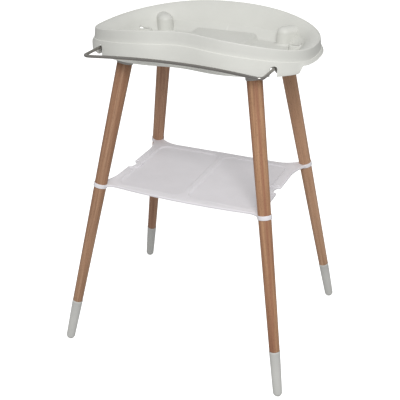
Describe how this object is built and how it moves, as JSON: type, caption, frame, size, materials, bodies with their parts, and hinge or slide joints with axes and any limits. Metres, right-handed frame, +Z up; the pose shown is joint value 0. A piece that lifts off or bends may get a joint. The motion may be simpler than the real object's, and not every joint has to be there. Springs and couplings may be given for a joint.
{
  "type": "changing table",
  "caption": "Moulded kidney-shaped baby changing tray on splayed turned wooden legs, with a ringed storage shelf and a swing-down front rail.",
  "frame": {"origin": "on the floor, midway between the four feet", "axes": "+X to the right seen from the rail side, +Y from the rail side to the back, +Z up"},
  "size_m": [0.699, 0.575, 0.9729],
  "materials": {
    "tray_plastic": "satin warm white",
    "skirt_plastic": "satin warm white",
    "shelf_plastic": "satin cool white",
    "socket_plastic": "grey moulded",
    "sleeve_plastic": "satin light grey",
    "bush_plastic": "moulded",
    "beech": "oiled beech",
    "rail_steel": "brushed",
    "fastener_steel": "zinc plated",
    "insert_brass": "plain"
  },
  "bodies": {
    "stand": {"tray_basin": "tray_plastic", "tray_skirt": "skirt_plastic", "leg_socket_front_left": "socket_plastic", "leg_socket_front_right": "socket_plastic", "leg_socket_back_left": "socket_plastic", "leg_socket_back_right": "socket_plastic", "leg_front_left": "beech", "leg_front_right": "beech", "leg_back_left": "beech", "leg_back_right": "beech", "foot_sleeve_front_left": "sleeve_plastic", "foot_sleeve_front_right": "sleeve_plastic", "foot_sleeve_back_left": "sleeve_plastic", "foot_sleeve_back_right": "sleeve_plastic", "leg_bolt_front_left": "fastener_steel", "leg_bolt_front_right": "fastener_steel", "leg_bolt_back_left": "fastener_steel", "leg_bolt_back_right": "fastener_steel", "washer_front_left": "fastener_steel", "washer_front_right": "fastener_steel", "washer_back_left": "fastener_steel", "washer_back_right": "fastener_steel", "leg_insert_front_left": "insert_brass", "leg_insert_front_right": "insert_brass", "leg_insert_back_left": "insert_brass", "leg_insert_back_right": "insert_brass", "storage_shelf": "shelf_plastic", "rail_bush_left": "bush_plastic", "rail_bush_right": "bush_plastic"},
    "rail": {"towel_rail": "rail_steel"}
  },
  "joints": [
    {"name": "rail_swing", "type": "hinge", "parent": "stand", "child": "rail", "pos_m": [0, -0.132, 0.889], "axis": [1, 0, 0], "range_deg": [0, 75]}
  ]
}
